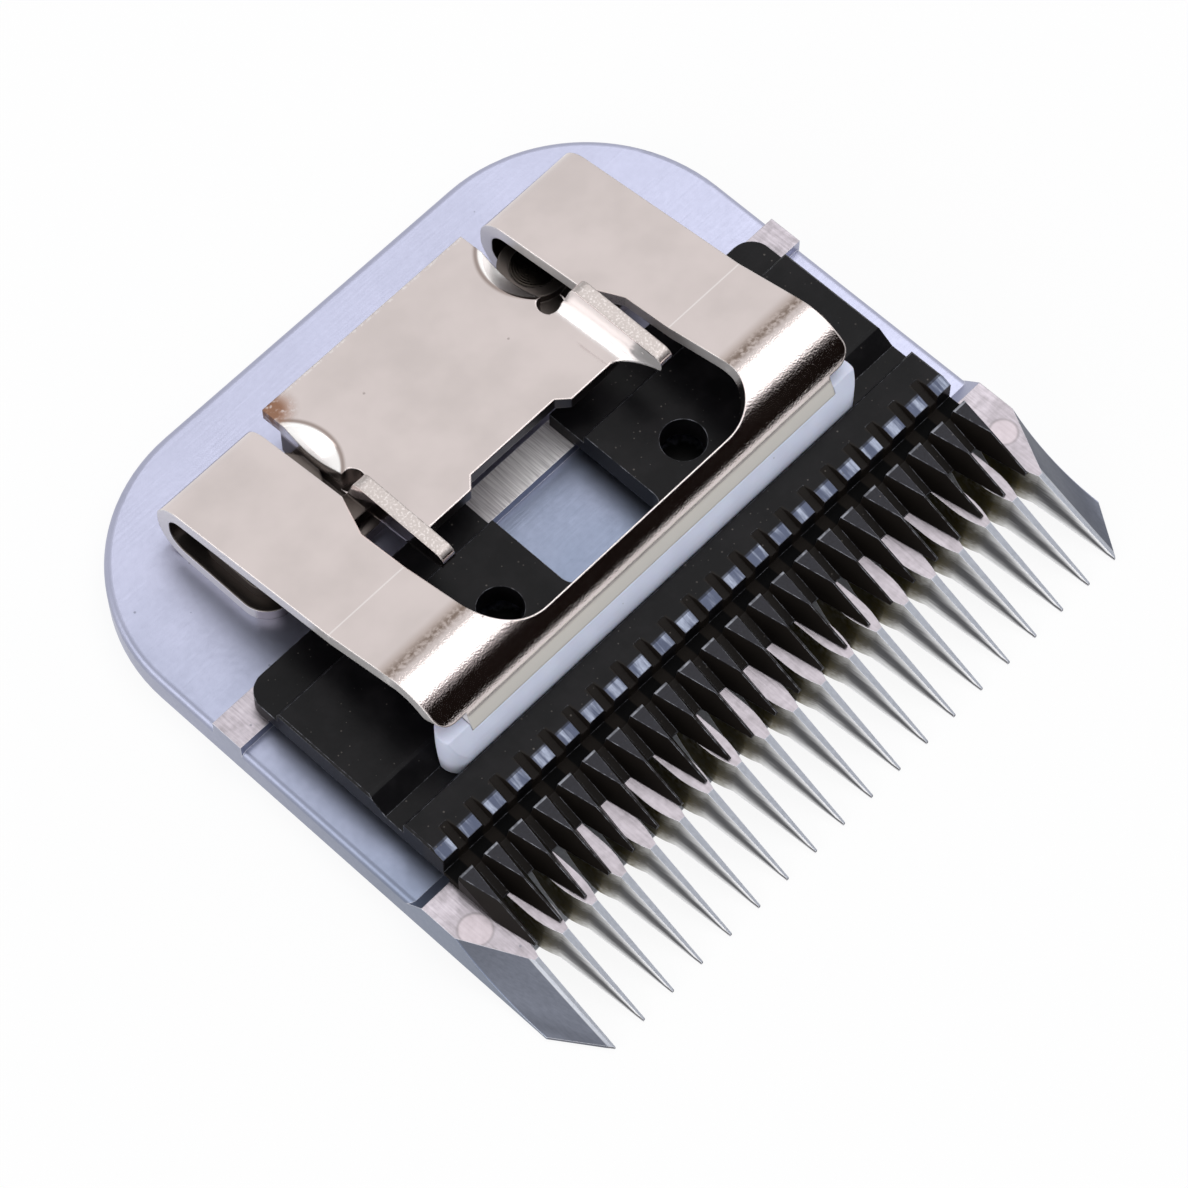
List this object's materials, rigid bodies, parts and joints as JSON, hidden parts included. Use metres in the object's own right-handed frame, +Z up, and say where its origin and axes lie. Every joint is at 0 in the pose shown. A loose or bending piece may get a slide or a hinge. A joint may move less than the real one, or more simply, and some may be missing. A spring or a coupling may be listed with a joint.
{
  "type": "detachable pet clipper blade",
  "caption": "Detachable pet clipper blade: a ground steel comb with a black toothed cutter that slides sideways on it, pressed down by a folded spring and a plastic guide, with a sheet socket.",
  "frame": {"origin": "centre of the whole box, on the comb's flat underside", "axes": "+Z up from the underside, X along the tooth row, tooth tips towards -Y"},
  "size_m": [0.049, 0.0474, 0.0107],
  "materials": {
    "comb_steel": "satin plate with bright ground lands and teeth",
    "black_steel": "black oxide with a satin sheen",
    "spring_nickel": "bright nickel plate",
    "socket_nickel": "bright nickel plate",
    "guide_plastic": "smooth white",
    "screw_steel": "plain steel"
  },
  "bodies": {
    "blade_frame": {"comb": "comb_steel", "tension_spring": "spring_nickel", "cutter_guide": "guide_plastic", "socket": "socket_nickel", "screw_left": "screw_steel", "screw_right": "screw_steel"},
    "cutter_body": {"cutter": "black_steel"}
  },
  "joints": [
    {"name": "cutter_slide", "type": "slide", "parent": "blade_frame", "child": "cutter_body", "axis": [1, 0, 0], "range_m": [-0.01, 0.01]}
  ]
}
